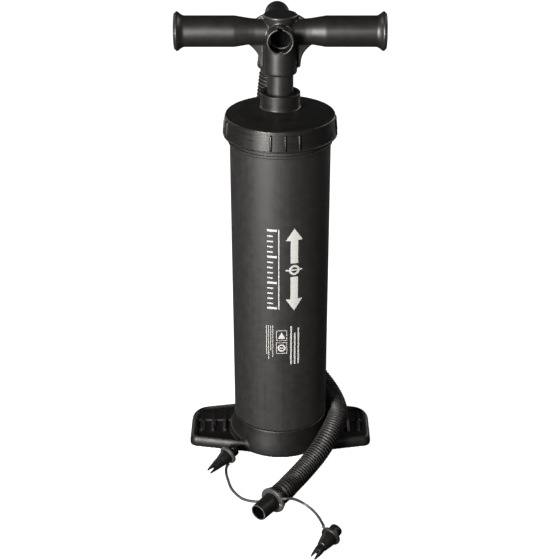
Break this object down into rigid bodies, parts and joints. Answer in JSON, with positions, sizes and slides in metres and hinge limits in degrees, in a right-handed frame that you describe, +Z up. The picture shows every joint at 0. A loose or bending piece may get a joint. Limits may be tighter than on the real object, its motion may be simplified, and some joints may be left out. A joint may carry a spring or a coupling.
{
  "type": "hand pump",
  "caption": "Stand-up double action air pump with a T handle, a winged foot base, a ribbed hose that ends in a nozzle, and push-fit valve adapters on tethers.",
  "frame": {"origin": "centre of the foot base's underside, on the barrel's axis", "axes": "+Z up along the barrel and the piston rod, +X along the grips to the user's right as seen from the open front port, -Y out of the front port, +Y towards the hose elbow"},
  "size_m": [0.2086, 0.3245, 0.4818],
  "materials": {
    "body_plastic": "satin",
    "base_plastic": "satin, finely textured",
    "hose_plastic": "satin",
    "seal_rubber": "matt",
    "screw_steel": "plated",
    "natural_plastic": "undyed"
  },
  "bodies": {
    "barrel_unit": {"foot_base": "base_plastic", "barrel": "body_plastic", "base_screw_1": "screw_steel", "base_screw_2": "screw_steel", "base_screw_3": "screw_steel", "base_screw_4": "screw_steel", "screw_cap": "body_plastic", "cap_gasket": "seal_rubber", "rod_guide_bush": "natural_plastic", "rod_seal": "seal_rubber", "seal_retainer": "base_plastic", "hose_front_run": "hose_plastic", "hose_nozzle": "base_plastic", "tether_collar": "hose_plastic", "tether_left": "hose_plastic", "tether_right": "hose_plastic", "valve_adapter_left": "base_plastic", "valve_adapter_right": "base_plastic"},
    "plunger": {"rod_tube": "body_plastic", "inner_air_tube": "natural_plastic", "piston_body": "base_plastic", "piston_top_cover": "base_plastic", "piston_bottom_cover": "base_plastic", "piston_seal_lower": "seal_rubber", "piston_seal_upper": "seal_rubber", "piston_top_screw_1": "screw_steel", "piston_top_screw_2": "screw_steel", "piston_bottom_screw_1": "screw_steel", "piston_bottom_screw_2": "screw_steel", "intake_valve_upper_pin": "natural_plastic", "intake_valve_lower_pin": "natural_plastic", "outlet_valve_upper_pin": "natural_plastic", "outlet_valve_lower_pin": "natural_plastic", "inner_tube_o_ring": "seal_rubber", "handle_body": "body_plastic", "grip_end_cap_right": "body_plastic", "grip_end_cap_left": "body_plastic", "handle_rod_screw": "screw_steel", "hose_elbow": "base_plastic", "elbow_o_ring": "seal_rubber", "hose_rear_run": "hose_plastic"},
    "intake_flap_upper": {"intake_valve_upper_disc": "seal_rubber"},
    "intake_flap_lower": {"intake_valve_lower_disc": "seal_rubber"},
    "outlet_flap_upper": {"outlet_valve_upper_disc": "seal_rubber"},
    "outlet_flap_lower": {"outlet_valve_lower_disc": "seal_rubber"}
  },
  "joints": [
    {"name": "plunger_slide", "type": "slide", "parent": "barrel_unit", "child": "plunger", "axis": [0, 0, 1], "range_m": [0, 0.27], "deforming": ["hose_rear_run"]},
    {"name": "intake_upper_lift", "type": "slide", "parent": "plunger", "child": "intake_flap_upper", "axis": [0, 0, 1], "range_m": [0, 0.0015], "stiffness_N_per_m": 20, "springref_m": -0.002},
    {"name": "intake_lower_lift", "type": "slide", "parent": "plunger", "child": "intake_flap_lower", "axis": [0, 0, -1], "range_m": [0, 0.0015], "stiffness_N_per_m": 20, "springref_m": -0.002},
    {"name": "outlet_upper_lift", "type": "slide", "parent": "plunger", "child": "outlet_flap_upper", "axis": [0, 0, -1], "range_m": [0, 0.0015], "stiffness_N_per_m": 20, "springref_m": -0.002},
    {"name": "outlet_lower_lift", "type": "slide", "parent": "plunger", "child": "outlet_flap_lower", "axis": [0, 0, 1], "range_m": [0, 0.0015], "stiffness_N_per_m": 20, "springref_m": -0.002}
  ]
}
